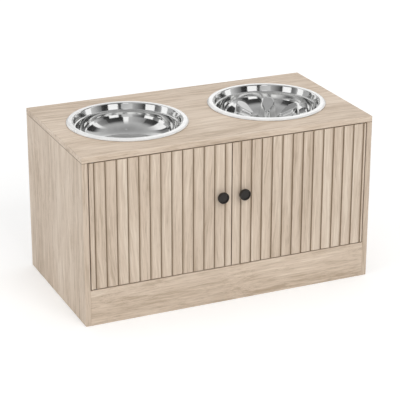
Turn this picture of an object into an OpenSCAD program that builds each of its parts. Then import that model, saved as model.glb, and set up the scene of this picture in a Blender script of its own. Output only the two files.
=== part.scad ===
// Raised feeding cabinet for a dog: two lift-out steel bowls hang in the top board, one of them
// a slow feeder, over a storage space behind a pair of fluted doors on pivot pins.
// Millimetres, +Z up, the doors face -Y. The origin is at the bottom centre of the whole object,
// door knobs and bowl rims included.

/* [Cabinet] */
// Width over the side panels
cabinet_w = 650; // [620:10:800]
// Depth from the door faces to the rear edges
cabinet_d = 345; // [290:5:420]
// Height of the top board's upper face above the floor
cabinet_h = 365; // [300:5:460]
// Thickness of the main boards
board_t = 12; // [12:0.5:18]
// Height of the kick board, level with the upper face of the storage floor
kick_h = 78; // [60:1:110]
// Bevel on the boards' edges and on the doors' upper and lower edges
board_bevel = 0.6; // [0.3:0.1:0.9]

/* [Back panel] */
// Thickness of the back panel
back_t = 5; // [3:0.5:6]
// Distance from the rear edges to the back panel's outer face
back_inset = 8; // [6:1:14]
// How deep the back panel sits in the grooves around it
back_groove = 5; // [3:0.5:6]
// Space left under the back panel
back_foot_gap = 3; // [1:0.5:10]

/* [Doors] */
// Reveal gap around and between the doors
door_gap = 2; // [1.8:0.1:3]
// Distance from one flute groove to the next
flute_pitch = 23.75; // [12:0.25:40]
// Width of a flute groove at its floor
flute_w = 2.6; // [1.5:0.1:5]
// Depth of a flute groove
flute_depth = 2.6; // [1.5:0.1:3.5]
// Width of the slope that eases each door's strips down into their outer grooves
flute_ease_w = 5; // [2:0.1:6]
// Depth of that slope at the groove
flute_ease_h = 1.2; // [0.6:0.1:1.4]
// Radius on the strips' other edges
flute_edge_r = 0.8; // [0.3:0.1:1]
// First groove of the left door, from its outer edge
left_flute_start = 10.6; // [4:0.2:22]
// First groove of the right door, from its outer edge
right_flute_start = 5.4; // [4:0.2:22]

/* [Door pivots] */
// Pivot axis to the door's outer edge
pivot_inset = 9.5; // [9:0.5:14]
// Diameter of the pivot pins
pin_d = 4; // [3:0.5:5]
// Length of a pin inside the door
pin_grip = 18; // [10:1:30]
// Length of a pin inside its bush
pin_reach = 7; // [4:0.5:7.5]
// Outer diameter of a pivot bush
bush_d = 8; // [7:0.5:9]
// Length of a bush inside its board
bush_l = 8; // [7.5:0.5:9]
// Radial play of a pin in its bush
pin_play = 0.05; // [0.02:0.01:0.1]

/* [Knobs] */
// Diameter of a knob's head
knob_d = 24; // [16:1:32]
// How far a knob stands out of the door
knob_reach = 15; // [14:1:30]
// Knob centre to the door's free edge
knob_inset = 23.4; // [18:0.2:60]
// Knob centre below the door's top edge
knob_drop = 112.6; // [40:0.2:150]
// Diameter of a knob's screw
knob_screw_d = 4; // [3:0.5:5]

/* [Bowls] */
// Diameter over the rolled rim
rim_d = 254; // [230:1:270]
// Width of the rolled rim
rim_w = 12.5; // [9:0.5:16]
// Height of the rolled rim above the top board
rim_h = 5; // [4:0.5:8]
// Distance between the two bowl centres
bowl_spacing = 322; // [300:1:340]
// Depth of a bowl's inside below the top board's upper face
bowl_depth = 56; // [45:1:70]
// Height of the upright band under the rim
band_h = 9.5; // [6:0.5:16]
// Width of the ledge where the upright band ends
ledge_w = 3.4; // [1.5:0.1:6]
// How much the upright band narrows from top to bottom, on the radius
band_taper = 2.6; // [0:0.1:6]
// Thickness of the steel sheet
sheet_t = 0.8; // [0.6:0.1:1.2]
// Play between a bowl and the edge of its hole
bowl_play = 2; // [1:0.5:4]

/* [Slow feeder] */
// Number of raised lobes in the bowl's floor
lobe_count = 6; // [3:1:6]
// Foot radius of a lobe's outer, taller end
lobe_r = 24; // [18:1:25]
// Foot radius of a lobe's inner, lower end
lobe_tip_r = 13; // [9:1:14]
// Distance of a lobe's outer end from the bowl's centre
lobe_ring_r = 62; // [60:1:68]
// Distance of a lobe's inner end from the bowl's centre
lobe_tip_ring_r = 40; // [36:1:42]
// Slant of a lobe's flanks from upright, as pressed sheet needs it
lobe_draft = 20; // [14:1:24]
// Lobe's flat top below the top board's upper face, at the outer end
lobe_top = 16; // [12:1:24]
// How far that flat top falls towards the inner end
lobe_fall = 11; // [4:1:16]

/* [Fittings] */
// Diameter of a cam disc
cam_d = 12; // [10:1:15]
// Height of a cam disc
cam_h = 9.5; // [8:0.5:11]
// Distance from a joint's face to its cam's centre
cam_reach = 24; // [20:1:34]
// Diameter of a dowel
dowel_d = 6; // [5:1:8]
// Length of a dowel
dowel_l = 24; // [18:1:30]
// Length of a dowel inside the board that it stands up from
dowel_foot = 8.5; // [6:0.5:9]
// Cams of the top joints, from the front and rear edges
top_cam_inset = 45; // [35:1:60]
// Dowels of the top joints, from the front and rear edges
top_dowel_inset = 80; // [70:1:100]
// Cams of the storage floor, from its front and rear edges
floor_cam_inset = 50; // [35:1:60]
// Dowels of the storage floor, from its front and rear edges
floor_dowel_inset = 85; // [70:1:95]
// Height of the cams in the kick board and the rear rail
base_cam_z = 30; // [24:1:34]
// Height of the dowels in the kick board and the rear rail
base_dowel_z = 12; // [8:1:14]

/* [Magnetic catch] */
// Width of the catch's case
catch_w = 66; // [60:1:80]
// Depth of the catch's case
catch_d = 15; // [12:1:24]
// Height of the catch's case
catch_h = 12; // [10:1:16]
// Distance between the catch's two magnets
magnet_spacing = 28; // [24:1:36]
// Width of a strike plate
strike_w = 18; // [14:1:22]
// Height of a strike plate
strike_h = 10; // [8:0.5:10]
// Thickness of a strike plate
strike_t = 1; // [0.8:0.1:1.5]
// Gap between a closed door's strike plate and the magnet
catch_gap = 0.3; // [0.2:0.1:0.6]

/* [Hidden] */
$fn = 96;

OAK = "#d5c6af";
OAK_CUT = "#c9ae86";
STEEL = "#c6cacc";
ZINC = "#9fa3a6";
BLACK = "#2d2a28";
NYLON = "#e8e6df";

LEFT = -1;
RIGHT = 1;
// how far a cut runs past the face that it opens
cut = 1;
// gap all round a piece that is seated in its hole
fit = 0.05;
// smoothness of large rounds and of small ones
large_fn = 180;
small_fn = 32;

mid_y = knob_reach / 2;
front_y = mid_y - cabinet_d / 2;
rear_y = mid_y + cabinet_d / 2;
side_h = cabinet_h - board_t;
inner_w = cabinet_w - 2 * board_t;
door_back_y = front_y + board_t;

back_front_y = rear_y - back_inset - back_t;
groove_play = 0.1;
floor_d = back_front_y - door_back_y;
rail_h = kick_h - board_t;

door_w = (inner_w - 3 * door_gap) / 2;
door_z = kick_h + door_gap;
door_h = side_h - door_gap - door_z;
pivot_x = inner_w / 2 - door_gap - pivot_inset;
pivot_y = front_y + board_t / 2;
collar_t = door_gap / 2;
pin_bevel = 0.5;
flute_flat_min = 0.02;
last_strip_min = 2;

knob_x = door_gap / 2 + knob_inset;
knob_z = door_z + door_h - knob_drop;
knob_base_d = 12;
knob_base_h = 2.5;
knob_base_flare = 1;
knob_neck_d = 10;
knob_neck_flare = 2;
knob_head_h = 7;
knob_edge_r = 1.4;
knob_lip_w = 2.4;
knob_face_depth = 2;
knob_face_taper = 0.6;
knob_thread_l = 11;
knob_screw_gap = 1;
knob_screw_head_h = 2.4;
knob_screw_bevel = 0.6;

screw_bevel = 0.8;
screw_point_l = 2;
screw_point_r = 0.3;
screw_play = 0.2;
screw_head_play = 0.3;
recess_w = 0.9;
recess_depth = 0.9;

bowl_x = bowl_spacing / 2;
rim_r = rim_d / 2;
mouth_r = rim_r - rim_w;
rim_roll_r = rim_h;
lip_w = 4;
mouth_bend_r = 3;
band_foot_r = mouth_r - band_taper;
well_r = band_foot_r - ledge_w;
well_bend_r = bowl_depth - band_h;
hole_r = mouth_r + sheet_t + bowl_play;
// how far a lobe's straight flanks lie inside its two cones' common tangent
flank_sink = 0.05;
// how far a lobe's body runs below the bowl's floor, past the sheet
lobe_foot = sheet_t + cut;

bolt_thread_l = 8;
bolt_thread_r = 2.5;
bolt_tip_bevel = 1;
bolt_shank_r = 2;
bolt_step = 0.5;
bolt_neck_r = 1.4;
bolt_neck_l = 2;
bolt_head_r = 2.3;
bolt_head_l = 4;
bolt_head_bevel = 0.7;
slot_play = 0.3;
cross_l = 7;
cross_w = 1.5;
cross_depth = 2.2;
dowel_chamfer = 0.8;

back_screw_count = 5;
back_screw_edge = 60;
back_screw_r = 1.6;
back_screw_l = 18;
back_screw_head_r = 3.2;
back_screw_head_h = 1.8;

magnet_w = 13;
magnet_h = 7;
magnet_l = 6;
magnet_proud = 0.5;
magnet_z = side_h - catch_h / 2;
catch_edge_r = 2;
catch_y = door_back_y + strike_t + catch_gap + magnet_proud;
catch_screw_inset = 6;
catch_screw_x = catch_w / 2 - catch_screw_inset;
catch_screw_r = 1.5;
catch_screw_l = 8;
catch_screw_head_r = 2.8;
catch_screw_head_h = 1.6;
// how far up its hole a catch screw's head is seated
catch_screw_sink = 8;
catch_screw_reach = catch_h - catch_screw_sink + catch_screw_l;
strike_drop = 2;
strike_z = magnet_z - strike_drop;
strike_screw_r = 1.5;
strike_screw_l = 8.5;
strike_screw_head_r = 2.8;

// Places its child at both ends of the joints between the side panels and the top board.
// In each joint's own frame the face with the thread is at zero, +Z runs into the board that holds
// the cam, and +X points to the face that the cam is turned from.
module top_joints(inset, sides = [LEFT, RIGHT]) {
    for (side = sides, y = [front_y + inset, rear_y - inset])
        translate([side * (cabinet_w - board_t) / 2, y, side_h])
            rotate(side == LEFT ? [180, 0, 0] : [0, 180, 0])
                children();
}

// Joints between the side panels and the storage floor
module floor_joints(inset, sides = [LEFT, RIGHT]) {
    for (side = sides, y = [door_back_y + inset, back_front_y - inset])
        translate([side * inner_w / 2, y, kick_h - board_t / 2])
            rotate([0, 0, side == LEFT ? 0 : 180])
                rotate([0, 90, 0])
                    children();
}

// Joints between the side panels and the kick board
module kick_joints(z, sides = [LEFT, RIGHT]) {
    for (side = sides)
        translate([side * inner_w / 2, front_y + board_t / 2, z])
            rotate(side == LEFT ? [90, 0, 90] : [-90, 0, 90])
                children();
}

// Joints between the side panels and the rear rail
module rail_joints(z, sides = [LEFT, RIGHT]) {
    for (side = sides)
        translate([side * inner_w / 2, back_front_y - board_t / 2, z])
            rotate(side == LEFT ? [-90, 0, -90] : [90, 0, -90])
                children();
}

module cam_joints(sides = [LEFT, RIGHT]) {
    top_joints(top_cam_inset, sides) children();
    floor_joints(floor_cam_inset, sides) children();
    kick_joints(base_cam_z, sides) children();
    rail_joints(base_cam_z, sides) children();
}

module dowel_joints(sides = [LEFT, RIGHT]) {
    top_joints(top_dowel_inset, sides) children();
    floor_joints(floor_dowel_inset, sides) children();
    kick_joints(base_dowel_z, sides) children();
    rail_joints(base_dowel_z, sides) children();
}

// Holes that one cam fitting needs in the two boards it draws together
module cam_holes() {
    translate([0, 0, -bolt_thread_l - fit])
        cylinder(r = bolt_thread_r + fit, h = bolt_thread_l + cam_reach);
    translate([board_t / 2 - cam_h - fit, 0, cam_reach])
        rotate([0, 90, 0])
            cylinder(d = cam_d + 2 * fit, h = cam_h + fit + cut);
}

module dowel_holes() {
    translate([0, 0, -dowel_foot - fit])
        cylinder(d = dowel_d + 2 * fit, h = dowel_l + 2 * fit);
}

// Rectangle with its corners bevelled
module bevelled(size) {
    far_x = size.x - board_bevel;
    far_y = size.y - board_bevel;
    polygon([[board_bevel, 0], [far_x, 0], [size.x, board_bevel], [size.x, far_y],
             [far_x, size.y], [board_bevel, size.y], [0, far_y], [0, board_bevel]]);
}

// Board with all its edges bevelled, from the corner nearest the left, the front and the floor
module board(size, corner) {
    translate(corner)
        intersection() {
            linear_extrude(size.z) bevelled([size.x, size.y]);
            translate([0, size.y, 0])
                rotate([90, 0, 0])
                    linear_extrude(size.y) bevelled([size.x, size.z]);
            rotate([90, 0, 90])
                linear_extrude(size.x) bevelled([size.y, size.z]);
        }
}

module bush_holes(sides = [LEFT, RIGHT]) {
    for (side = sides) {
        translate([side * pivot_x, pivot_y, kick_h - bush_l - fit])
            cylinder(d = bush_d + 2 * fit, h = bush_l + fit + cut);
        translate([side * pivot_x, pivot_y, side_h - cut])
            cylinder(d = bush_d + 2 * fit, h = bush_l + fit + cut);
    }
}

module back_groove_cut() {
    translate([-cabinet_w / 2 + board_t - back_groove, back_front_y - groove_play, -cut])
        cube([inner_w + 2 * back_groove, back_t + 2 * groove_play, side_h + back_groove + cut]);
}

module top_panel() {
    color(OAK)
        difference() {
            board([cabinet_w, cabinet_d, board_t], [-cabinet_w / 2, front_y, side_h]);
            for (side = [LEFT, RIGHT])
                translate([side * bowl_x, mid_y, side_h - cut])
                    cylinder(r = hole_r, h = board_t + 2 * cut, $fn = large_fn);
            top_joints(top_cam_inset) cam_holes();
            top_joints(top_dowel_inset) dowel_holes();
            bush_holes();
            back_groove_cut();
            catch_pilot_holes();
        }
}

module side_panel(side) {
    color(OAK)
        difference() {
            board([board_t, cabinet_d, side_h],
                  [side == LEFT ? -cabinet_w / 2 : cabinet_w / 2 - board_t, front_y, 0]);
            cam_joints([side]) cam_holes();
            dowel_joints([side]) dowel_holes();
            back_groove_cut();
        }
}

module left_side_panel() {
    side_panel(LEFT);
}

module right_side_panel() {
    side_panel(RIGHT);
}

module floor_panel() {
    color(OAK)
        difference() {
            board([inner_w, floor_d, board_t], [-inner_w / 2, door_back_y, rail_h]);
            floor_joints(floor_cam_inset) cam_holes();
            floor_joints(floor_dowel_inset) dowel_holes();
            back_screws() back_screw_hole();
        }
}

module kick_board() {
    color(OAK)
        difference() {
            board([inner_w, board_t, kick_h], [-inner_w / 2, front_y, 0]);
            kick_joints(base_cam_z) cam_holes();
            kick_joints(base_dowel_z) dowel_holes();
            bush_holes();
        }
}

module rear_rail() {
    color(OAK)
        difference() {
            board([inner_w, board_t, rail_h], [-inner_w / 2, back_front_y - board_t, 0]);
            rail_joints(base_cam_z) cam_holes();
            rail_joints(base_dowel_z) dowel_holes();
        }
}

module back_panel() {
    panel_w = inner_w + 2 * back_groove - 2 * groove_play;
    color(OAK)
        difference() {
            board([panel_w, back_t, side_h + back_groove - groove_play - back_foot_gap],
                  [-panel_w / 2, back_front_y, back_foot_gap]);
            back_screws() back_screw_hole();
        }
}

// Rotates a half profile drawn with its height along Y, and trims what lies beyond the axis
module turned() {
    rotate_extrude()
        intersection() {
            children();
            translate([0, -cabinet_w]) square([cabinet_w, 2 * cabinet_w]);
        }
}

// Cross slot in a screw head whose outer face lies at the height given, facing -Z
module cross_recess(z, length) {
    for (turn = [0, 90])
        translate([0, 0, z])
            rotate([0, 0, turn])
                cube([length, recess_w, 2 * recess_depth], center = true);
}

// Screw with its head below zero and its shank running up to a bevelled end
module screw(shank_r, shank_l, head_r, head_h, bevel, point_l, point_r) {
    color(ZINC)
        difference() {
            turned()
                polygon([[0, -head_h], [head_r - bevel, -head_h], [head_r, bevel - head_h], [head_r, 0],
                         [shank_r, 0], [shank_r, shank_l - point_l], [point_r, shank_l], [0, shank_l]]);
            cross_recess(-head_h, head_r);
        }
}

module wood_screw(shank_r, shank_l, head_r, head_h) {
    screw(shank_r, shank_l, head_r, head_h, screw_bevel, screw_point_l, screw_point_r);
}

module cam_disc() {
    color(ZINC)
        translate([board_t / 2 - cam_h, 0, cam_reach])
            difference() {
                rotate([0, 90, 0]) cylinder(d = cam_d, h = cam_h);
                // slot for the bolt's head, open towards the joint
                translate([cam_h - board_t / 2, 0, -cam_d / 2 - cut])
                    cylinder(r = bolt_head_r + slot_play,
                             h = cam_d / 2 + cut + bolt_head_l / 2 + slot_play);
                // cross for the screwdriver
                for (turn = [0, 90])
                    translate([cam_h, 0, 0])
                        rotate([turn + 45, 0, 0])
                            cube([2 * cross_depth, cross_l, cross_w], center = true);
            }
}

module cam_discs() {
    cam_joints() cam_disc();
}

module cam_bolt() {
    head_z = cam_reach - bolt_head_l / 2;
    neck_z = head_z - bolt_neck_l;
    tip_z = head_z + bolt_head_l;
    color(ZINC)
        turned()
            polygon([[0, -bolt_thread_l], [bolt_thread_r - bolt_tip_bevel, -bolt_thread_l],
                     [bolt_thread_r, bolt_tip_bevel - bolt_thread_l], [bolt_thread_r, 0],
                     [bolt_shank_r, bolt_step], [bolt_shank_r, neck_z - bolt_step],
                     [bolt_neck_r, neck_z], [bolt_neck_r, head_z],
                     [bolt_head_r, head_z + bolt_head_bevel], [bolt_head_r, tip_z - bolt_head_bevel],
                     [bolt_head_r - bolt_head_bevel, tip_z], [0, tip_z]]);
}

module cam_bolts() {
    cam_joints() cam_bolt();
}

module dowel() {
    r = dowel_d / 2;
    color(OAK_CUT)
        translate([0, 0, -dowel_foot])
            turned()
                polygon([[0, 0], [r - dowel_chamfer, 0], [r, dowel_chamfer], [r, dowel_l - dowel_chamfer],
                         [r - dowel_chamfer, dowel_l], [0, dowel_l]]);
}

module dowels() {
    dowel_joints() dowel();
}

// Places its child at each screw through the back panel into the storage floor, +Z running inwards
module back_screws() {
    span = inner_w - 2 * back_screw_edge;
    pitch = span / (back_screw_count - 1);
    for (i = [0 : back_screw_count - 1])
        translate([i * pitch - span / 2, back_front_y + back_t, kick_h - board_t / 2])
            rotate([90, 0, 0])
                children();
}

module back_screw_hole() {
    translate([0, 0, -cut]) cylinder(r = back_screw_r + fit, h = back_screw_l + fit + cut);
}

module back_panel_screws() {
    back_screws() wood_screw(back_screw_r, back_screw_l, back_screw_head_r, back_screw_head_h);
}

// Flanged bush with its flange at zero, facing +Z, and its sleeve below
module bush() {
    color(NYLON)
        turned()
            difference() {
                union() {
                    translate([0, -bush_l]) square([bush_d / 2, bush_l]);
                    square([bush_d / 2 + 1, collar_t]);
                }
                translate([0, -bush_l - cut])
                    square([pin_d / 2 + pin_play, bush_l + collar_t + 2 * cut]);
            }
}

module pivot_bushes() {
    for (side = [LEFT, RIGHT]) {
        translate([side * pivot_x, pivot_y, kick_h]) bush();
        translate([side * pivot_x, pivot_y, side_h]) rotate([180, 0, 0]) bush();
    }
}

// Pivot pin with the door's edge at zero: the grip runs up into the door
module pivot_pin() {
    r = pin_d / 2;
    tip_z = -2 * collar_t - pin_reach;
    color(ZINC)
        turned()
            polygon([[0, tip_z], [r - pin_bevel, tip_z], [r, tip_z + pin_bevel], [r, -collar_t],
                     [bush_d / 2, -collar_t], [bush_d / 2, 0], [r, 0], [r, pin_grip - pin_bevel],
                     [r - pin_bevel, pin_grip], [0, pin_grip]]);
}

module pivot_pins(side) {
    translate([side * pivot_x, pivot_y, door_z]) pivot_pin();
    translate([side * pivot_x, pivot_y, door_z + door_h]) rotate([180, 0, 0]) pivot_pin();
}

module left_pivot_pins() {
    pivot_pins(LEFT);
}

module right_pivot_pins() {
    pivot_pins(RIGHT);
}

// Radius of the arc that falls by end.y over a run of end.x
function ease_r(end) = (end.x * end.x + end.y * end.y) / (2 * end.y);

// One flat strip of a door's face, seen from above. Both ends are given as the run and the fall of
// the arc in which they leave the flat
module flute_strip(width, left, right) {
    body_h = flute_depth + cut;
    intersection() {
        square([width, body_h]);
        union() {
            translate([left.x, 0]) square([width - left.x - right.x, body_h]);
            translate([0, left.y]) square([width / 2, body_h - left.y]);
            translate([width / 2, right.y]) square([width / 2, body_h - right.y]);
            translate([left.x, ease_r(left)]) circle(r = ease_r(left), $fn = large_fn);
            translate([width - right.x, ease_r(right)]) circle(r = ease_r(right), $fn = large_fn);
        }
    }
}

// A door seen from above, its face along X with a groove at every pitch from its outer edge. The
// strips slope down at their outer ends, where a groove lies beside them
module door_plan(side, flute_start) {
    last = floor((door_w - flute_start - flute_w / 2 - last_strip_min) / flute_pitch);
    centres = [for (i = [0 : last]) flute_start + i * flute_pitch];
    starts = concat([0], [for (x = centres) x + flute_w / 2]);
    ends = concat([for (x = centres) x - flute_w / 2], [door_w]);
    translate([0, flute_depth]) square([door_w, board_t - flute_depth]);
    for (i = [0 : len(starts) - 1]) {
        width = ends[i] - starts[i];
        edge_r = min(flute_edge_r, (width - flute_flat_min) / 2);
        ease_w = min(flute_ease_w, width - edge_r - flute_flat_min);
        inner = [edge_r, edge_r];
        outer = i == 0 ? inner : [ease_w, flute_ease_h];
        if (side == LEFT)
            translate([starts[i], 0]) flute_strip(width, outer, inner);
        else
            translate([door_w - ends[i], 0]) flute_strip(width, inner, outer);
    }
}

module door(side, flute_start) {
    left_edge = side == LEFT ? -door_gap / 2 - door_w : door_gap / 2;
    color(OAK)
        difference() {
            translate([left_edge, front_y, door_z])
                intersection() {
                    linear_extrude(door_h) door_plan(side, flute_start);
                    rotate([90, 0, 90])
                        linear_extrude(door_w) bevelled([board_t, door_h]);
                }
            // pin holes in the lower and upper edges
            for (z = [door_z - cut, door_z + door_h - pin_grip - fit])
                translate([side * pivot_x, pivot_y, z])
                    cylinder(d = pin_d + 2 * fit, h = pin_grip + fit + cut);
            translate([side * knob_x, front_y - cut, knob_z])
                rotate([-90, 0, 0])
                    cylinder(d = knob_screw_d + 2 * screw_play, h = board_t + 2 * cut);
            strike_pilot_hole(side);
        }
}

module left_door() {
    door(LEFT, left_flute_start);
}

module right_door() {
    door(RIGHT, right_flute_start);
}

// Half profile of a knob, height along Y from the door's face
module knob_profile() {
    r = knob_d / 2;
    head_z = knob_reach - knob_head_h;
    face_r = r - knob_lip_w;
    face_z = knob_reach - knob_face_depth;
    difference() {
        union() {
            square([knob_base_d / 2, knob_base_h]);
            square([knob_neck_d / 2, head_z]);
            polygon([[0, knob_base_h], [knob_base_d / 2, knob_base_h],
                     [knob_neck_d / 2, knob_base_h + knob_base_flare],
                     [knob_neck_d / 2, head_z - knob_neck_flare], [r - knob_edge_r, head_z], [0, head_z]]);
            translate([0, head_z]) square([r - knob_edge_r, knob_head_h]);
            translate([0, head_z + knob_edge_r]) square([r, knob_head_h - 2 * knob_edge_r]);
            for (z = [head_z + knob_edge_r, knob_reach - knob_edge_r])
                translate([r - knob_edge_r, z]) circle(r = knob_edge_r, $fn = small_fn);
        }
        // sunk face inside the lip
        polygon([[0, face_z], [face_r - knob_face_taper, face_z], [face_r, knob_reach],
                 [face_r, knob_reach + cut], [0, knob_reach + cut]]);
        translate([0, -cut]) square([knob_screw_d / 2 + fit, knob_thread_l + cut]);
    }
}

module knob(side) {
    color(BLACK)
        translate([side * knob_x, front_y, knob_z])
            rotate([90, 0, 0])
                turned()
                    knob_profile();
}

module left_knob() {
    knob(LEFT);
}

module right_knob() {
    knob(RIGHT);
}

// Machine screw from the door's back into the knob, its head as wide as two shanks
module knob_screw(side) {
    translate([side * knob_x, door_back_y, knob_z])
        rotate([90, 0, 0])
            screw(knob_screw_d / 2, board_t + knob_thread_l - knob_screw_gap, knob_screw_d,
                  knob_screw_head_h, screw_bevel, knob_screw_bevel, knob_screw_d / 2 - knob_screw_bevel);
}

module left_knob_screw() {
    knob_screw(LEFT);
}

module right_knob_screw() {
    knob_screw(RIGHT);
}

module catch_case() {
    color(NYLON)
        difference() {
            translate([-catch_w / 2 + catch_edge_r, catch_y, side_h - catch_h]) {
                cube([catch_w - 2 * catch_edge_r, catch_d, catch_h]);
                translate([-catch_edge_r, catch_edge_r, 0])
                    cube([catch_w, catch_d - 2 * catch_edge_r, catch_h]);
                for (x = [0, catch_w - 2 * catch_edge_r], y = [catch_edge_r, catch_d - catch_edge_r])
                    translate([x, y, 0]) cylinder(r = catch_edge_r, h = catch_h, $fn = small_fn);
            }
            magnet_blocks(catch_y - cut, magnet_l - magnet_proud + cut);
            // screw holes with their heads sunk in from below
            for (side = [LEFT, RIGHT])
                translate([side * catch_screw_x, catch_y + catch_d / 2, side_h - catch_h - cut]) {
                    cylinder(r = catch_screw_r + screw_play, h = catch_h + 2 * cut);
                    cylinder(r = catch_screw_head_r + screw_head_play, h = catch_screw_sink + cut);
                }
        }
}

// Blocks as wide and as high as the two magnets, from the depth given
module magnet_blocks(y, length) {
    for (side = [LEFT, RIGHT])
        translate([side * magnet_spacing / 2 - magnet_w / 2, y, magnet_z - magnet_h / 2])
            cube([magnet_w, length, magnet_h]);
}

module catch_magnets() {
    color(ZINC)
        magnet_blocks(catch_y - magnet_proud, magnet_l);
}

// Places its child at each catch screw, +Z running up into the top board from the head's seat
module catch_screw_places() {
    for (side = [LEFT, RIGHT])
        translate([side * catch_screw_x, catch_y + catch_d / 2, side_h - catch_h + catch_screw_sink])
            children();
}

module catch_pilot_holes() {
    catch_screw_places() cylinder(r = catch_screw_r + fit, h = catch_screw_reach + fit);
}

module catch_screws() {
    catch_screw_places()
        wood_screw(catch_screw_r, catch_screw_reach, catch_screw_head_r, catch_screw_head_h);
}

// Places its child on a door's back face at its strike plate, +Z running into the door
module strike_place(side) {
    translate([side * magnet_spacing / 2, door_back_y, strike_z])
        rotate([90, 0, 0])
            children();
}

module strike_pilot_hole(side) {
    strike_place(side)
        translate([0, 0, -cut]) cylinder(r = strike_screw_r + fit, h = strike_screw_l + cut);
}

module strike_plate(side) {
    color(ZINC)
        strike_place(side)
            translate([0, 0, -strike_t])
                difference() {
                    translate([-strike_w / 2, -strike_h / 2, 0]) cube([strike_w, strike_h, strike_t]);
                    translate([0, 0, -cut]) cylinder(r = strike_screw_r + fit, h = strike_t + 2 * cut);
                    // countersink for the flat head
                    cylinder(r1 = strike_screw_head_r + fit, r2 = strike_screw_r + fit, h = strike_t);
                }
}

module left_strike_plate() {
    strike_plate(LEFT);
}

module right_strike_plate() {
    strike_plate(RIGHT);
}

// Flat-headed screw whose head fills the strike plate's countersink
module strike_screw(side) {
    color(ZINC)
        strike_place(side)
            difference() {
                turned()
                    polygon([[0, -strike_t], [strike_screw_head_r, -strike_t], [strike_screw_r, 0],
                             [strike_screw_r, strike_screw_l - screw_point_l],
                             [screw_point_r, strike_screw_l], [0, strike_screw_l]]);
                cross_recess(-strike_t, strike_screw_head_r);
            }
}

module left_strike_screw() {
    strike_screw(LEFT);
}

module right_strike_screw() {
    strike_screw(RIGHT);
}

// Quarter of a ring of sheet around a bend, from the quadrant's first angle
module bend(centre, outer_r, quadrant) {
    translate(centre)
        rotate(90 * quadrant)
            intersection() {
                difference() {
                    circle(r = outer_r);
                    circle(r = outer_r - sheet_t);
                }
                square(outer_r + cut);
            }
}

// Half profile of what a bowl's inner face encloses, grown outwards by the thickness given
module bowl_hollow(grow) {
    band_z = -band_h - grow;
    difference() {
        union() {
            translate([0, -bowl_depth - grow])
                square([well_r - well_bend_r, bowl_depth - band_h + 2 * grow]);
            translate([well_r - well_bend_r, -band_h]) circle(r = well_bend_r + grow, $fn = large_fn);
        }
        translate([-rim_r - cut, -band_h]) square(2 * (rim_r + cut));
    }
    polygon([[0, band_z], [band_foot_r + grow, band_z], [mouth_r + grow, rim_h - mouth_bend_r],
             [0, rim_h - mouth_bend_r]]);
}

// Half profile of a bowl's steel sheet, height along Y from the top board's upper face
module bowl_sheet() {
    difference() {
        bowl_hollow(sheet_t);
        bowl_hollow(0);
    }
    bend([mouth_r + mouth_bend_r, rim_h - mouth_bend_r], mouth_bend_r, 1);
    translate([mouth_r + mouth_bend_r, rim_h - sheet_t])
        square([rim_w - mouth_bend_r - rim_roll_r, sheet_t]);
    bend([rim_r - rim_roll_r, rim_h - rim_roll_r], rim_roll_r, 0);
    // lip turned in under the roll, which the bowl hangs by
    translate([rim_r - lip_w, 0]) square([lip_w - sheet_t / 2, sheet_t]);
}

module plain_bowl() {
    turned() bowl_sheet();
}

module water_bowl() {
    color(STEEL)
        translate([-bowl_x, mid_y, cabinet_h])
            plain_bowl();
}

// Upright cone of a lobe's draft, from below the bowl's sheet to its point
module lobe_cone(ring_r, foot_r) {
    below_r = foot_r + lobe_foot * tan(lobe_draft);
    translate([ring_r, 0, -bowl_depth - lobe_foot])
        cylinder(r1 = below_r, r2 = 0, h = below_r / tan(lobe_draft), $fn = large_fn);
}

// Straight flanks that join a lobe's two cones: a roof under the line between their points, kept to
// the plan between the lines on which it touches them
module lobe_flanks(r1, r2) {
    run = lobe_ring_r - lobe_tip_ring_r;
    touch = asin((r1 - r2) / run);
    rise = atan((r1 - r2) / tan(lobe_draft) / run);
    roof_h = r1 / tan(lobe_draft) + lobe_foot;
    roof_half_w = roof_h * tan(lobe_draft) / (cos(rise) * cos(touch));
    reach = r1 + lobe_foot * tan(lobe_draft);
    tip_reach = r2 + lobe_foot * tan(lobe_draft);
    intersection() {
        translate([lobe_ring_r, 0, r1 / tan(lobe_draft) - bowl_depth - flank_sink / sin(lobe_draft)])
            rotate([0, 90 - rise, 0])
                rotate([0, 0, 90])
                    linear_extrude(rim_d, center = true)
                        polygon([[0, 0], [roof_half_w, -roof_h], [-roof_half_w, -roof_h]]);
        translate([0, 0, -bowl_depth - lobe_foot])
            linear_extrude(roof_h)
                polygon([[lobe_ring_r, 0],
                         [lobe_ring_r - reach * sin(touch), reach * cos(touch)],
                         [lobe_tip_ring_r - tip_reach * sin(touch), tip_reach * cos(touch)],
                         [lobe_tip_ring_r, 0],
                         [lobe_tip_ring_r - tip_reach * sin(touch), -tip_reach * cos(touch)],
                         [lobe_ring_r - reach * sin(touch), -reach * cos(touch)]]);
    }
}

// One drafted lobe with a flat top that falls towards the bowl's centre, shrunk all round by the
// thickness given
module lobe(shrink) {
    r1 = lobe_r - shrink / cos(lobe_draft);
    r2 = lobe_tip_r - shrink / cos(lobe_draft);
    slope = lobe_fall / (lobe_ring_r - lobe_tip_ring_r);
    top_z = -lobe_top - shrink * sqrt(1 + slope * slope);
    under_z = -bowl_depth - lobe_foot - cut;
    intersection() {
        union() {
            lobe_cone(lobe_ring_r, r1);
            lobe_cone(lobe_tip_ring_r, r2);
            lobe_flanks(r1, r2);
        }
        // what lies under the plane of the flat top
        rotate([90, 0, 0])
            linear_extrude(rim_r, center = true)
                polygon([[0, under_z], [rim_r, under_z],
                         [rim_r, top_z + slope * (rim_r - lobe_ring_r)],
                         [0, top_z - slope * lobe_ring_r]]);
    }
}

module lobes(shrink) {
    for (i = [0 : lobe_count - 1])
        rotate(i * 360 / lobe_count)
            lobe(shrink);
}

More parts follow.
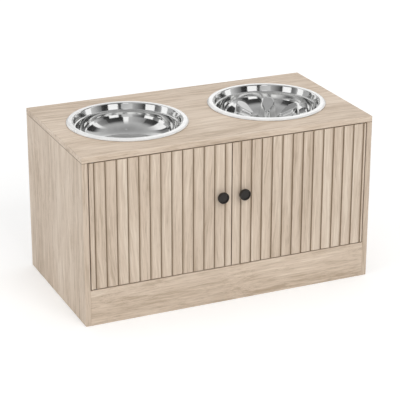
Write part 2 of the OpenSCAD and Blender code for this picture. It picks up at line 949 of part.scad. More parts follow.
module slow_feeder_bowl() {
    color(STEEL)
        translate([bowl_x, mid_y, cabinet_h])
            difference() {
                union() {
                    plain_bowl();
                    intersection() {
                        lobes(0);
                        turned() bowl_hollow(sheet_t / 2);
                    }
                }
                lobes(sheet_t);
            }
}

top_panel();
left_side_panel();
right_side_panel();
floor_panel();
kick_board();
rear_rail();
back_panel();
cam_discs();
cam_bolts();
dowels();
back_panel_screws();
pivot_bushes();
catch_case();
catch_magnets();
catch_screws();
left_door();
right_door();
left_pivot_pins();
right_pivot_pins();
left_knob();
right_knob();
left_knob_screw();
right_knob_screw();
left_strike_plate();
right_strike_plate();
left_strike_screw();
right_strike_screw();
water_bowl();
slow_feeder_bowl();
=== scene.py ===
import math

import bmesh
import bpy
import numpy as np
from mathutils import Matrix, Vector


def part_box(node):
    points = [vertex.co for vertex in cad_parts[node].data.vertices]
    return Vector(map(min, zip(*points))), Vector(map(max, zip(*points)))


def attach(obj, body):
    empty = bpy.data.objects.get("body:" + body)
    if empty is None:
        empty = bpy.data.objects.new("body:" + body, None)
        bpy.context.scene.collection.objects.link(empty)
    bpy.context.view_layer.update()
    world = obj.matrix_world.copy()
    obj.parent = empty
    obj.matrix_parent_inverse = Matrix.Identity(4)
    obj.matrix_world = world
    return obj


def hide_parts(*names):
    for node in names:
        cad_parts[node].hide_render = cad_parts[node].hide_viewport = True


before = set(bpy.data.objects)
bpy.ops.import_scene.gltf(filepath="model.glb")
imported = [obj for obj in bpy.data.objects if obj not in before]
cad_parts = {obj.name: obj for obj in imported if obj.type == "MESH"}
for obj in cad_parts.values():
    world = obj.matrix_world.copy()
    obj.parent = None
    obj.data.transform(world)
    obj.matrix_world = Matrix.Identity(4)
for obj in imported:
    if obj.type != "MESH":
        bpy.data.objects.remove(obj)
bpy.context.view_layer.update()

MM = 0.001
TOP_LOW, TOP_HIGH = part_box("top_panel")
TOP_Z = TOP_HIGH.z
SEAM_Z = TOP_LOW.z
CABINET_MIDDLE_Y = (TOP_LOW.y + TOP_HIGH.y) / 2
DOOR_FRONT_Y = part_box("left_door")[0].y


def add(name, data):
    """A new object with that data, linked to the scene."""
    made = bpy.data.objects.new(name, data)
    bpy.context.scene.collection.objects.link(made)
    return made


# --------------------------------------------------------------------------- camera

# the solved camera: its direction from the object, its lens, and its place in metres, as the
# distance from LOOK_AT and the moves to its own right and up
CAMERA_TURN = math.radians(-24.001)
CAMERA_RISE = math.radians(21.46)
CAMERA_ROLL = math.radians(0.099)
CAMERA_LENS_MM = 142.67
CAMERA_SENSOR_MM = 36
CAMERA_DISTANCE = 3.493157
CAMERA_RIGHT = 0.004591
CAMERA_UP = 0.152895
LOOK_AT = Vector((0, CABINET_MIDDLE_Y, 0))


def make_camera():
    back = Vector(
        (
            math.sin(CAMERA_TURN) * math.cos(CAMERA_RISE),
            -math.cos(CAMERA_TURN) * math.cos(CAMERA_RISE),
            math.sin(CAMERA_RISE),
        )
    )
    level_right = Vector((0, 0, 1)).cross(back).normalized()
    level_up = back.cross(level_right)
    right = level_right * math.cos(CAMERA_ROLL) + level_up * math.sin(CAMERA_ROLL)
    up = level_up * math.cos(CAMERA_ROLL) - level_right * math.sin(CAMERA_ROLL)
    place = LOOK_AT + back * CAMERA_DISTANCE + right * CAMERA_RIGHT + up * CAMERA_UP
    data = bpy.data.cameras.new("camera")
    data.lens = CAMERA_LENS_MM
    data.sensor_width = CAMERA_SENSOR_MM
    camera = add("camera", data)
    turn = Matrix((right, up, back)).transposed().to_4x4()
    camera.matrix_world = Matrix.Translation(place) @ turn
    bpy.context.scene.camera = camera


make_camera()


# --------------------------------------------------------------------------- node helpers


class Tree:
    """The node tree of a material or world, with one short call for each kind of node used below.

    Wherever a call takes a value, it can be a plain one or another node's socket.
    """

    def __init__(self, owner, output):
        self.owner = owner
        owner.use_nodes = True
        self.nodes = owner.node_tree.nodes
        self.links = owner.node_tree.links
        self.nodes.clear()
        self.output = self.nodes.new(output)

    def put(self, socket, value):
        if isinstance(value, bpy.types.NodeSocket):
            self.links.new(value, socket)
        else:
            socket.default_value = value

    def node(self, kind, inputs=(), **settings):
        made = self.nodes.new(kind)
        for key, value in settings.items():
            setattr(made, key, value)
        for key, value in dict(inputs).items():
            self.put(made.inputs[key], value)
        return made

    def math(self, operation, a, b, clamp=False):
        return self.node(
            "ShaderNodeMath", {0: a, 1: b}, operation=operation, use_clamp=clamp
        ).outputs[0]

    def times(self, a, b):
        return self.math("MULTIPLY", a, b)

    def minus(self, a, b):
        return self.math("SUBTRACT", a, b)

    def plus(self, *terms):
        total = terms[-1]
        for term in reversed(terms[:-1]):
            total = self.math("ADD", term, total)
        return total

    def ramp(self, value, between, to=(0.0, 1.0)):
        """The value taken smoothly from one pair of ends to the other, and clamped there."""
        return self.node(
            "ShaderNodeMapRange",
            {0: value, 1: between[0], 2: between[1], 3: to[0], 4: to[1]},
            interpolation_type="SMOOTHSTEP",
        ).outputs[0]

    def noise(self, vector, scale=1.0, detail=2.0, roughness=0.5, distortion=0.0):
        return self.node(
            "ShaderNodeTexNoise",
            {
                "Vector": vector,
                "Scale": scale,
                "Detail": detail,
                "Roughness": roughness,
                "Distortion": distortion,
            },
        ).outputs["Fac"]

    def mix(self, factor, a, b, blend="MIX"):
        made = self.node("ShaderNodeMix", data_type="RGBA", blend_type=blend)
        self.put(made.inputs[0], factor)
        self.put(made.inputs[6], a)
        self.put(made.inputs[7], b)
        return made.outputs[2]

    def place(self):
        """Object coordinates. A frame node's are metres in the row frame."""
        return self.node("ShaderNodeTexCoord").outputs["Object"]

    def split(self, vector):
        return tuple(self.node("ShaderNodeSeparateXYZ", {0: vector}).outputs)

    def combine(self, x, y, z):
        return self.node("ShaderNodeCombineXYZ", {0: x, 1: y, 2: z}).outputs[0]

    def scaled(self, axes, by):
        """The three axes as one vector, each of them times its own number."""
        return self.combine(*(self.times(axis, scale) for axis, scale in zip(axes, by)))

    def length(self, x, y):
        place = self.combine(x, y, 0.0)
        return self.node("ShaderNodeVectorMath", {0: place}, operation="LENGTH").outputs[1]

    def bump(self, height, strength, distance):
        return self.node(
            "ShaderNodeBump", {"Height": height, "Strength": strength, "Distance": distance}
        ).outputs[0]

    def seen(self):
        """1 for the camera's rays and for those that gloss and glass send on, and 0 for light."""
        path = self.node("ShaderNodeLightPath").outputs
        sent_on = self.math("MAXIMUM", path["Is Glossy Ray"], path["Is Transmission Ray"])
        return self.math("MAXIMUM", path["Is Camera Ray"], sent_on)

    def show(self, shader):
        self.links.new(shader.outputs[0], self.output.inputs["Surface"])
        return self.owner

    def surface(self, **inputs):
        named = {key.replace("_", " "): value for key, value in inputs.items()}
        return self.show(self.node("ShaderNodeBsdfPrincipled", named))


def material_tree(name):
    return Tree(bpy.data.materials.new(name), "ShaderNodeOutputMaterial")


def rgb(red, green, blue):
    """An sRGB colour of 0 to 255 as a linear one."""

    def linear(value):
        value /= 255
        return value / 12.92 if value <= 0.04045 else ((value + 0.055) / 1.055) ** 2.4

    return (linear(red), linear(green), linear(blue), 1.0)


# --------------------------------------------------------------------------- oak

OAK_LIGHT = rgb(229, 214, 196)
OAK_MID = rgb(212, 194, 175)
OAK_DARK = rgb(184, 165, 144)
OAK_PORE = rgb(158, 138, 117)
# the painted shade on the doors' slopes and in their grooves
GROOVE_SHADE_BROWN = rgb(152, 133, 111)
SEAM_BROWN = rgb(112, 94, 76)

# the figure in four sizes: features per metre along the grain and across it
ZONES = (1.1, 13.0)
BUNDLES = (6.5, 125.0)
FIBRES = (18.0, 420.0)
PORES = (38.0, 1300.0)
ZONE_SHARE = 0.26
BUNDLE_SHARE = 0.44
FIBRE_SHARE = 0.30
PORE_SHARE = 0.55

# the values of the figure between which the wood turns from one look to the next
TO_MID = (0.36, 0.52)
TO_DARK = (0.50, 0.66)
TO_STREAK = (0.46, 0.64)
TO_PORES = (0.44, 0.60)
PORES_IN_LIGHT_WOOD = 0.25

# how the fibres wander: bends per metre along the grain and across it, and how far in metres
DRIFT = (3.1, 7.5)
DRIFT_REACH = 0.060
# how far the pattern moves from one seed to the next, along the grain and across it
SEED_STEP = (0.37, 0.21)

PATCHES_PER_M = 7.0
PATCH_SHADES = (0.975, 1.015)
OAK_ROUGHNESS = 0.43
STREAK_ROUGHNESS = 0.14
PATCH_ROUGHNESS = 0.16
STREAK_RELIEF = 0.6

# the doors' strips: how deep their slopes go, and the painted shade on them: where the grooves'
# painted shade starts and is full, and where it ends, all as depths under the doors' front
SLOPE_DEPTH = 1.2 * MM
SLOPE_PAINTED_SHADE = 0.50
SLOPE_PAINTED_SHADE_CURVE = 0.6
GROOVE_SHADE_DEPTHS = (1.0 * MM, 2.0 * MM)
GROOVE_PAINTED_SHADE = 0.45
PAINTED_SHADE_END = (3.0 * MM, 3.4 * MM)

# the dark line on the side panels under the top board, by depth under the seam
SEAM_FADE = (0.6 * MM, 2.0 * MM)
SEAM_SHARE = 0.55


def oak(name, along, seed, tone=1.0, darker=0.0, grooves=False, seam=False, matte=0.0):
    """Light oak laminate, with its grain along that axis.

    seed moves the pattern from board to board. tone scales the whole colour, darker moves the
    figure towards its dark streaks, and matte adds to the roughness. grooves paints shade down
    the doors' slopes and into their grooves, and seam darkens the edge under the top board.
    """
    tree = material_tree(name)
    place = tree.place()
    x, y, z = tree.split(place)
    grain, across, depth = {"X": (x, y, z), "Z": (z, x, y)}[along]
    grain = tree.plus(grain, SEED_STEP[0] * seed)
    across = tree.plus(across, SEED_STEP[1] * seed)

    def stretched(per_grain, per_across):
        return tree.scaled((grain, across, depth), (per_grain, per_across, per_across))

    # the fibres wander sideways along the board, most where the tree's rings open into arches
    drift = tree.noise(stretched(*DRIFT), detail=3.0, roughness=0.45)
    across = tree.plus(across, tree.times(tree.minus(drift, 0.5), DRIFT_REACH))

    # broad light and dark zones, bundles of fibres in them, and single fibres in those
    zone = tree.noise(stretched(*ZONES), detail=2.0, roughness=0.5)
    bundle = tree.noise(stretched(*BUNDLES), detail=4.0, roughness=0.62)
    fibre = tree.noise(stretched(*FIBRES), detail=3.0, roughness=0.6)
    figure = tree.plus(
        tree.times(zone, ZONE_SHARE),
        tree.times(bundle, BUNDLE_SHARE),
        tree.times(fibre, FIBRE_SHARE),
    )
    figure = tree.plus(figure, darker)
    colour = tree.mix(tree.ramp(figure, TO_MID), OAK_LIGHT, OAK_MID)
    colour = tree.mix(tree.ramp(figure, TO_DARK), colour, OAK_DARK)
    streak = tree.ramp(figure, TO_STREAK)

    # fine open pores, more of them in the darker wood
    pore = tree.noise(stretched(*PORES), detail=1.0, roughness=0.5)
    pore = tree.times(
        tree.ramp(pore, (0.58, 0.70)), tree.ramp(figure, TO_PORES, (PORES_IN_LIGHT_WOOD, 1.0))
    )
    colour = tree.mix(tree.times(pore, PORE_SHARE), colour, OAK_PORE)

    # handling: faint uneven patches, which are also a little duller or shinier
    patch = tree.noise(place, scale=PATCHES_PER_M, detail=3.0)
    shade = tree.ramp(patch, (0.3, 0.7), [level * tone for level in PATCH_SHADES])
    colour = tree.mix(1.0, colour, tree.combine(shade, shade, shade), blend="MULTIPLY")

    if grooves:
        # painted shade, gathering down the strips' slopes and most in the grooves between them
        below = tree.minus(y, DOOR_FRONT_Y)
        down_slope = tree.math("DIVIDE", below, SLOPE_DEPTH, clamp=True)
        painted_shade = tree.plus(
            tree.times(tree.math("POWER", down_slope, SLOPE_PAINTED_SHADE_CURVE), SLOPE_PAINTED_SHADE),
            tree.ramp(below, GROOVE_SHADE_DEPTHS, (0.0, GROOVE_PAINTED_SHADE)),
        )
        on_front = tree.ramp(below, PAINTED_SHADE_END, (1.0, 0.0))
        colour = tree.mix(tree.times(painted_shade, on_front), colour, GROOVE_SHADE_BROWN)
    if seam:
        near_seam = tree.ramp(tree.minus(SEAM_Z, z), SEAM_FADE, (SEAM_SHARE, 0.0))
        colour = tree.mix(near_seam, colour, SEAM_BROWN)

    relief = tree.minus(1.0, tree.plus(tree.times(streak, STREAK_RELIEF), pore))
    return tree.surface(
        Base_Color=colour,
        Roughness=tree.plus(
            OAK_ROUGHNESS + matte,
            tree.times(streak, STREAK_ROUGHNESS),
            tree.times(tree.minus(patch, 0.5), PATCH_ROUGHNESS),
        ),
        Specular_IOR_Level=0.30,
        Normal=tree.bump(relief, 0.35, 0.12 * MM),
    )


# --------------------------------------------------------------------------- other materials

# the steel's marks, in features per metre
RINGS_PER_M = 2600.0
RING_WANDER_PER_M = 6.0
SMEARS_PER_M = 38.0
SCRATCHES_PER_M = (900.0, 35.0, 200.0)

# the radii between which the polish turns into the rim's satin and its painted highlight, and
# what changes there: a lighter, less metallic colour, which is painted highlight, and the satin's
# roughness
SATIN_AND_HIGHLIGHT_FROM = (115.0 * MM, 117.5 * MM)
RIM_PAINTED_HIGHLIGHT = 0.07
RIM_HIGHLIGHT_LESS_METALLIC = 0.68
RIM_ROUGHER = 0.16
STEEL_BLUE = 0.992


def steel(name, centre_x, centre_y):
    """Polished stainless sheet with a satin rim that carries a painted highlight, for a bowl on
    that centre.

    It has the faint rings that spinning leaves, and the smears and scratches of use.
    """
    tree = material_tree(name)
    place = tree.place()
    x, y, z = tree.split(place)
    from_x = tree.minus(x, centre_x)
    from_y = tree.minus(y, centre_y)
    radius = tree.length(from_x, from_y)
    rings = tree.noise(
        tree.scaled(
            (radius, from_x, tree.plus(from_y, z)),
            (RINGS_PER_M, RING_WANDER_PER_M, RING_WANDER_PER_M),
        ),
        detail=2.0,
    )
    smear = tree.noise(place, scale=SMEARS_PER_M, detail=4.0, roughness=0.6)
    scratch = tree.noise(tree.scaled((x, y, z), SCRATCHES_PER_M), detail=1.0, distortion=0.6)
    on_rim = tree.ramp(radius, SATIN_AND_HIGHLIGHT_FROM)
    # the colour's level: smears of use, plus the painted highlight on the rim
    shade = tree.plus(
        tree.ramp(smear, (0.3, 0.7), (0.86, 0.92)), tree.times(on_rim, RIM_PAINTED_HIGHLIGHT)
    )
    polish = tree.plus(
        tree.ramp(smear, (0.25, 0.75), (0.05, 0.09)), tree.times(on_rim, RIM_ROUGHER)
    )
    return tree.surface(
        Base_Color=tree.combine(shade, shade, tree.times(shade, STEEL_BLUE)),
        Metallic=tree.minus(1.0, tree.times(on_rim, RIM_HIGHLIGHT_LESS_METALLIC)),
        Roughness=tree.plus(
            polish,
            tree.times(rings, 0.03),
            tree.times(tree.ramp(scratch, (0.70, 0.76)), 0.10),
        ),
        Normal=tree.bump(rings, 0.05, 0.010 * MM),
    )


def zinc(name):
    """Zinc plate: bluish grey, crystalline patches and a brushed bump."""
    tree = material_tree(name)
    place = tree.place()
    spangle = tree.node("ShaderNodeTexVoronoi", {"Vector": place, "Scale": 420.0})
    level = tree.node("ShaderNodeRGBToBW", {0: spangle.outputs["Color"]}).outputs[0]
    brushed = tree.noise(
        tree.scaled(tree.split(place), (2500.0, 2500.0, 160.0)), detail=2.0
    )
    colour = tree.mix(level, rgb(178, 181, 186), rgb(205, 207, 209))
    dark_strokes = tree.times(tree.ramp(brushed, (0.5, 0.8)), 0.4)
    return tree.surface(
        Base_Color=tree.mix(dark_strokes, colour, rgb(140, 142, 146)),
        Metallic=1.0,
        Roughness=tree.ramp(brushed, (0.2, 0.8), (0.28, 0.46)),
        Normal=tree.bump(brushed, 0.2, 0.02 * MM),
    )


def nylon(name, darker, lighter):
    """Moulded nylon: slightly mottled between two colours, with a fine moulded grain."""
    tree = material_tree(name)
    place = tree.place()
    mottle = tree.noise(place, scale=90.0, detail=3.0)
    grain = tree.noise(place, scale=2600.0, detail=1.0)
    return tree.surface(
        Base_Color=tree.mix(mottle, darker, lighter),
        Roughness=tree.ramp(grain, (0.3, 0.7), (0.42, 0.58)),
        Subsurface_Weight=0.06,
        Subsurface_Scale=0.002,
        Normal=tree.bump(grain, 0.25, 0.03 * MM),
    )


def black_metal(name):
    """Satin black paint on metal, with a fine orange peel and worn, slightly shinier spots."""
    tree = material_tree(name)
    place = tree.place()
    peel = tree.noise(place, scale=1500.0, detail=2.0)
    worn = tree.ramp(tree.noise(place, scale=260.0, detail=3.0, roughness=0.6), (0.55, 0.72))
    return tree.surface(
        Base_Color=tree.mix(worn, rgb(34, 29, 25), rgb(52, 46, 41)),
        Roughness=tree.plus(
            tree.ramp(peel, (0.3, 0.7), (0.38, 0.48)), tree.times(worn, -0.08)
        ),
        Specular_IOR_Level=0.38,
        Normal=tree.bump(peel, 0.12, 0.02 * MM),
    )


def beech(name):
    """Raw beech dowels: pinkish tan with small dark flecks along the grain."""
    tree = material_tree(name)
    axes = tree.split(tree.place())
    grain = tree.noise(tree.scaled(axes, (700.0, 700.0, 60.0)), detail=3.0)
    colour = tree.mix(grain, rgb(214, 180, 138), rgb(194, 156, 112))
    fleck = tree.times(tree.ramp(grain, (0.56, 0.66)), 0.5)
    return tree.surface(
        Base_Color=tree.mix(fleck, colour, rgb(150, 108, 70)),
        Roughness=tree.ramp(grain, (0.3, 0.7), (0.55, 0.72)),
        Normal=tree.bump(grain, 0.3, 0.05 * MM),
    )


def dress(material, *nodes):
    for node in nodes:
        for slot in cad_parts[node].material_slots:
            slot.material = material


dress(oak("oak_top", "X", 1, tone=1.025, darker=0.02), "top_panel")
dress(oak("oak_left_side", "Z", 2, tone=0.995, darker=0.02, seam=True), "left_side_panel")
dress(oak("oak_right_side", "Z", 3, tone=0.995, darker=0.02, seam=True), "right_side_panel")
dress(oak("oak_floor", "X", 4), "floor_panel")
dress(oak("oak_kick", "X", 5, tone=1.04, darker=0.05), "kick_board")
dress(oak("oak_rear_rail", "X", 6), "rear_rail")
dress(oak("oak_back_panel", "X", 7, tone=0.96, matte=0.14), "back_panel")
dress(oak("oak_left_door", "Z", 8, grooves=True), "left_door")
dress(oak("oak_right_door", "Z", 9, grooves=True), "right_door")
dress(
    zinc("zinc_plate"),
    "cam_discs",
    "cam_bolts",
    "back_panel_screws",
    "catch_magnets",
    "catch_screws",
    "left_pivot_pins",
    "right_pivot_pins",
    "left_knob_screw",
    "right_knob_screw",
    "left_strike_plate",
    "right_strike_plate",
    "left_strike_screw",
    "right_strike_screw",
)
dress(nylon("brown_nylon", rgb(104, 86, 68), rgb(124, 104, 84)), "pivot_bushes")
dress(nylon("white_nylon", rgb(222, 219, 210), rgb(236, 234, 228)), "catch_case")
dress(black_metal("satin_black_metal"), "left_knob", "right_knob")
dress(beech("raw_beech"), "dowels")


# --------------------------------------------------------------------------- bowls

# sizes of the sheet's visible side: radii from the bowl's axis, and heights over the top board
SHEET_MM = 0.8
BOWL_DEPTH_MM = 56
WELL_R_MM = 108.5
WELL_BEND_MM = 46.5
LEDGE_Z_MM = -9.5
BAND_FOOT_R_MM = 110.9
BAND_TOP_R_MM = 115.2
RIM_R_MM = 127
RIM_Z_MM = 5
LIP_R_MM = 123

# that side's corners from the middle out to the lip's edge, as (radius, height, bend radius)
BOWL_CORNERS = (
    (0, -BOWL_DEPTH_MM, 0),
    (WELL_R_MM, -BOWL_DEPTH_MM, WELL_BEND_MM),
    (WELL_R_MM, LEDGE_Z_MM, 1.0),
    (BAND_FOOT_R_MM, LEDGE_Z_MM, 1.0),
    (BAND_TOP_R_MM, RIM_Z_MM, 3),
    (RIM_R_MM, RIM_Z_MM, 4.2),
    (RIM_R_MM, 0, 1.2),
    (LIP_R_MM, 0, 0),
)
PROFILE_STEP_MM = 1.25
ARC_STEPS_PER_MM = 0.75
LEAST_ARC_STEPS = 6
BOWL_SEGMENTS = 240

# a lobe is the hull of two upright cones, each given here as (distance of its axis from the
# bowl's, radius at the floor), and a sloping plane through LOBE_TOP_AT, as (distance, height),
# cuts off its top
LOBE_COUNT = 6
LOBE_DRAFT = math.radians(15)
LOBE_OUTER = (62, 24)
LOBE_INNER = (40, 13)
LOBE_TOP_AT = (70, 44)
LOBE_TOP_SLOPE = 0.5
LOBE_EDGE_MM = 3.0
LOBE_FOOT_MM = 7.0
LOBES_END_R_MM = WELL_R_MM - 4
NO_LOBE_MM = -1000.0


def bent(corners):
    """The corner list as a line of points, with an arc at each corner that has a bend radius."""
    points = []
    for i, (r, z, bend) in enumerate(corners):
        here = Vector((r, z))
        if not bend:
            points.append(here)
            continue
        before = (Vector(corners[i - 1][:2]) - here).normalized()
        after = (Vector(corners[i + 1][:2]) - here).normalized()
        half = before.angle(after) / 2
        reach = bend / math.tan(half)
        centre = here + (before + after).normalized() * bend / math.sin(half)
        start = here + before * reach - centre
        end = here + after * reach - centre
        sweep = start.angle_signed(end)
        steps = max(LEAST_ARC_STEPS, math.ceil(bend * ARC_STEPS_PER_MM))
        for k in range(steps + 1):
            cos, sin = math.cos(-sweep * k / steps), math.sin(-sweep * k / steps)
            turned = Vector((start.x * cos - start.y * sin, start.x * sin + start.y * cos))
            points.append(centre + turned)
    return points


def filled_in(points, step):
    """More points along the straight stretches, no further apart than step."""
    dense = [points[0]]
    for a, b in zip(points, points[1:]):
        pieces = max(1, math.ceil((b - a).length / step))
        dense += [a.lerp(b, k / pieces) for k in range(1, pieces + 1)]
    return dense


def offset(points, by):
    """The same line moved sideways by that much, to its right."""
    moved = []
    for i, here in enumerate(points):
        run = points[min(i + 1, len(points) - 1)] - points[max(i - 1, 0)]
        run.normalize()
        moved.append(here + Vector((run.y, -run.x)) * by)
    return moved


def smooth_min(a, b, width):
    """The smaller of two heights, with the edge between them rounded over that width."""
    blend = np.clip(0.5 + 0.5 * (b - a) / width, 0, 1)
    return b + (a - b) * blend - width * blend * (1 - blend)


def lobe_height(x, y):
    """Height of the lobes over the bowl's floor. All lengths are in mm, from the bowl's centre."""
    steep = 1 / math.tan(LOBE_DRAFT)
    (ring_out, base_out), (ring_in, base_in) = LOBE_OUTER, LOBE_INNER
    climb = (base_out - base_in) * steep / (ring_out - ring_in)
    lean = climb / steep
    lag = lean / math.sqrt(1 - lean * lean)
    highest = np.full(np.shape(x), NO_LOBE_MM)
    for i in range(LOBE_COUNT):
        turn = 2 * math.pi * i / LOBE_COUNT
        out = x * math.cos(turn) + y * math.sin(turn)
        side = y * math.cos(turn) - x * math.sin(turn)
        ridge = np.clip(out + lag * np.abs(side), ring_in, ring_out)
        apex = base_in * steep + climb * (ridge - ring_in)
        flank = apex - steep * np.sqrt((out - ridge) ** 2 + side**2)
        top = LOBE_TOP_AT[1] - LOBE_TOP_SLOPE * (LOBE_TOP_AT[0] - out)
        highest = np.maximum(highest, smooth_min(flank, top, LOBE_EDGE_MM))
    return highest


def pressed(points):
    """Rows of (x, y, z) in mm from the bowl's centre at board level, raised onto the lobes."""
    x, y, z = points.T
    over_floor = z + BOWL_DEPTH_MM
    raised = -smooth_min(-over_floor, -lobe_height(x, y), LOBE_FOOT_MM)
    inside = np.hypot(x, y) < LOBES_END_R_MM
    lifted = np.where(inside, np.maximum(raised, over_floor), over_floor)
    return np.column_stack((x, y, lifted - BOWL_DEPTH_MM))


def make_bowl(name, node, material_name, lobes=False):
    """A spun sheet bowl in place of its plainer frame node, at the same sizes and place."""
    low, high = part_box(node)
    centre_x, centre_y = (low.x + high.x) / 2, (low.y + high.y) / 2
    material = steel(material_name, centre_x, centre_y)
    centre = Vector((centre_x, centre_y, TOP_Z))
    shown = filled_in(bent(BOWL_CORNERS), PROFILE_STEP_MM)
    under = offset(shown, SHEET_MM)
    under[0].x = 0
    turns = np.arange(BOWL_SEGMENTS) * 2 * math.pi / BOWL_SEGMENTS
    afters = [(k + 1) % BOWL_SEGMENTS for k in range(BOWL_SEGMENTS)]
    mesh = bmesh.new()

    def skin(profile, below):
        """Spins a profile that lies that far below the visible side, and returns its edge."""
        rings = []
        for r, z in profile:
            if r > 0:
                heights = np.full(BOWL_SEGMENTS, z)
                at = np.column_stack((r * np.cos(turns), r * np.sin(turns), heights))
            else:
                at = np.array([[0.0, 0.0, z]])
            if lobes:
                at = pressed(at + (0, 0, below)) - (0, 0, below)
            rings.append([mesh.verts.new(centre + Vector(p) * MM) for p in at])
        for inner, outer in zip(rings, rings[1:]):
            for k, after in enumerate(afters):
                if len(inner) == 1:
                    mesh.faces.new((inner[0], outer[k], outer[after]))
                else:
                    mesh.faces.new((inner[k], outer[k], outer[after], inner[after]))
        return rings[-1]

    shown_edge = skin(shown, 0)
    under_edge = skin(under, SHEET_MM)
    for k, after in enumerate(afters):
        mesh.faces.new((shown_edge[k], under_edge[k], under_edge[after], shown_edge[after]))
    bmesh.ops.recalc_face_normals(mesh, faces=mesh.faces)
    for face in mesh.faces:
        face.smooth = True
    data = bpy.data.meshes.new(name)
    mesh.to_mesh(data)
    mesh.free()
    data.materials.append(material)
    bowl = add(name, data)
    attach(bowl, node)
    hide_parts(node)


make_bowl("plain_bowl_sheet", "water_bowl", "steel_plain_bowl")
make_bowl("slow_feeder_sheet", "slow_feeder_bowl", "steel_slow_feeder", lobes=True)


# --------------------------------------------------------------------------- studio

FLOOR_SIZE = 60.0
# the floor's extra brightness under the object and far from it, and where it changes
FLOOR_GLOW = (0.30, 0.50)
FLOOR_GLOW_FROM = (0.6, 2.4)
WORLD_LIGHT = 0.62


def make_floor():
    """A pale floor. Light doesn't see its extra brightness, so the object's shadow stays."""
    tree = material_tree("pale_floor")
    place = tree.place()
    x, y, z = tree.split(place)
    mottle = tree.noise(place, scale=3.0, detail=2.0)
    colour = tree.mix(mottle, rgb(232, 232, 231), rgb(236, 236, 236))
    diffuse = tree.node("ShaderNodeBsdfDiffuse", {"Color": colour})
    level = tree.ramp(tree.length(x, y), FLOOR_GLOW_FROM, FLOOR_GLOW)
    glow = tree.node("ShaderNodeEmission", {"Strength": tree.times(tree.seen(), level)})
    both = tree.node("ShaderNodeAddShader", {0: diffuse.outputs[0], 1: glow.outputs[0]})
    half = FLOOR_SIZE / 2
    data = bpy.data.meshes.new("floor")
    data.from_pydata(
        [(-half, -half, 0), (half, -half, 0), (half, half, 0), (-half, half, 0)],
        [],
        [(0, 1, 2, 3)],
    )
    data.materials.append(tree.show(both))
    add("floor", data)


def make_world():
    """A world that is white to look at, and lights the object less than that."""
    tree = Tree(bpy.data.worlds.new("studio"), "ShaderNodeOutputWorld")
    strength = tree.ramp(tree.seen(), (0.0, 1.0), (WORLD_LIGHT, 1.0))
    white = {"Color": (1, 1, 1, 1), "Strength": strength}
    bpy.context.scene.world = tree.show(tree.node("ShaderNodeBackground", white))


def make_lamp(name, place, aim, size, watts):
    """A soft box. The steel reflects the shell round the object and not the lamps."""
    data = bpy.data.lights.new(name, "AREA")
    data.shape = "RECTANGLE"
    data.size, data.size_y = size
    data.energy = watts
    lamp = add(name, data)
    lamp.location = place
    lamp.rotation_mode = "QUATERNION"
    lamp.rotation_quaternion = (Vector(aim) - Vector(place)).to_track_quat("-Z", "Y")
    lamp.visible_camera = False
    lamp.visible_glossy = False


# the studio's panels as the steel sees them, in two tiers: where each panel ends, in degrees
# round from +X, and its brightness at both ends. The first one starts at PANELS_START
PANELS_START = 136
LOWER_PANELS = (
    (155, 0.45, 0.40), (171, 1.0, 1.0), (187, 0.35, 0.10), (208, 1.0, 1.0), (236, 0.00, 0.42),
    (260, 0.60, 0.52), (267, 0.10, 0.04), (289, 1.0, 1.0), (304, 0.01, 0.06), (331, 0.16, 0.60),
    (347, 1.0, 1.0), (362, 0.40, 0.22), (385, 1.0, 0.9), (392, 0.05, 0.05), (415, 0.7, 0.5),
    (440, 1.0, 1.0), (447, 0.03, 0.05), (470, 0.35, 0.6), (488, 1.0, 1.0), (496, 0.08, 0.03),
)
UPPER_PANELS = (
    (141, 0.05, 0.05), (169, 1.0, 0.9), (202, 0.02, 0.06), (244, 0.22, 0.50), (257, 1.0, 1.0),
    (299, 0.02, 0.05), (325, 0.14, 0.30), (339, 0.95, 0.95), (366, 0.04, 0.02), (400, 0.5, 0.75),
    (430, 1.0, 1.0), (452, 0.20, 0.30), (480, 0.9, 0.9), (496, 0.30, 0.15),
)
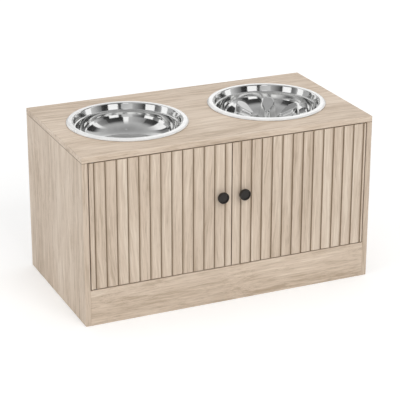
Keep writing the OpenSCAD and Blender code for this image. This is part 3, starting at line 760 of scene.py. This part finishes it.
# each row of a tier's corners: its elevation in degrees, the panels' share in the brightness
# there, and the brightness of the plain ceiling that they fade into
TIER_SPLIT = 23
LOWER_ROWS = ((4, 1.0, 0.0), (TIER_SPLIT, 1.0, 0.0))
UPPER_ROWS = (
    (TIER_SPLIT, 1.0, 0.0), (42, 0.95, 0.5), (54, 0.25, 0.50), (63, 0.0, 0.42), (76, 0.0, 0.35),
    (89, 0.0, 0.30),
)
SHELL_STEP = 3
SHELL_RADIUS = 6.0


def make_shell():
    """Dark and light panels under a grey ceiling, far round the object, for reflections only."""
    corners, faces, levels = [], [], []
    for tier, panels in ((LOWER_ROWS, LOWER_PANELS), (UPPER_ROWS, UPPER_PANELS)):
        rows = len(tier)
        start = PANELS_START
        for end, level_start, level_end in panels:
            steps = math.ceil((end - start) / SHELL_STEP)
            for i in range(steps + 1):
                turn = math.radians(start + (end - start) * i / steps)
                panel = level_start + (level_end - level_start) * i / steps
                for elevation, share, ceiling in tier:
                    rise = math.radians(elevation)
                    out, up = SHELL_RADIUS * math.cos(rise), SHELL_RADIUS * math.sin(rise)
                    corners.append((out * math.cos(turn), out * math.sin(turn), up))
                    levels.append(panel * share + ceiling * (1 - share))
                if i:
                    first = len(corners) - rows
                    for k in range(first, first + rows - 1):
                        faces.append((k - rows, k, k + 1, k - rows + 1))
            start = end
    data = bpy.data.meshes.new("studio_shell")
    data.from_pydata(corners, [], faces)
    data.attributes.new("brightness", "FLOAT", "POINT").data.foreach_set("value", levels)
    tree = material_tree("shell_glow")
    brightness = tree.node("ShaderNodeAttribute", attribute_name="brightness").outputs["Fac"]
    data.materials.append(tree.show(tree.node("ShaderNodeEmission", {"Strength": brightness})))
    shell = add("studio_shell", data)
    shell.visible_camera = False
    shell.visible_diffuse = False
    shell.visible_transmission = False
    shell.visible_shadow = False


make_floor()
make_world()
make_shell()
make_lamp("key_lamp", place=(0.2, -2.5, 2.3), aim=(0, 0, 0.2), size=(1.6, 1.4), watts=31)
make_lamp("fill_lamp", place=(-2.8, -0.8, 1.1), aim=(0, 0, 0.2), size=(1.6, 1.6), watts=15)
make_lamp("top_lamp", place=(0.3, 0.6, 3.0), aim=(0, 0, 0.3), size=(2.4, 1.6), watts=13)

bpy.context.scene.view_settings.view_transform = "Standard"
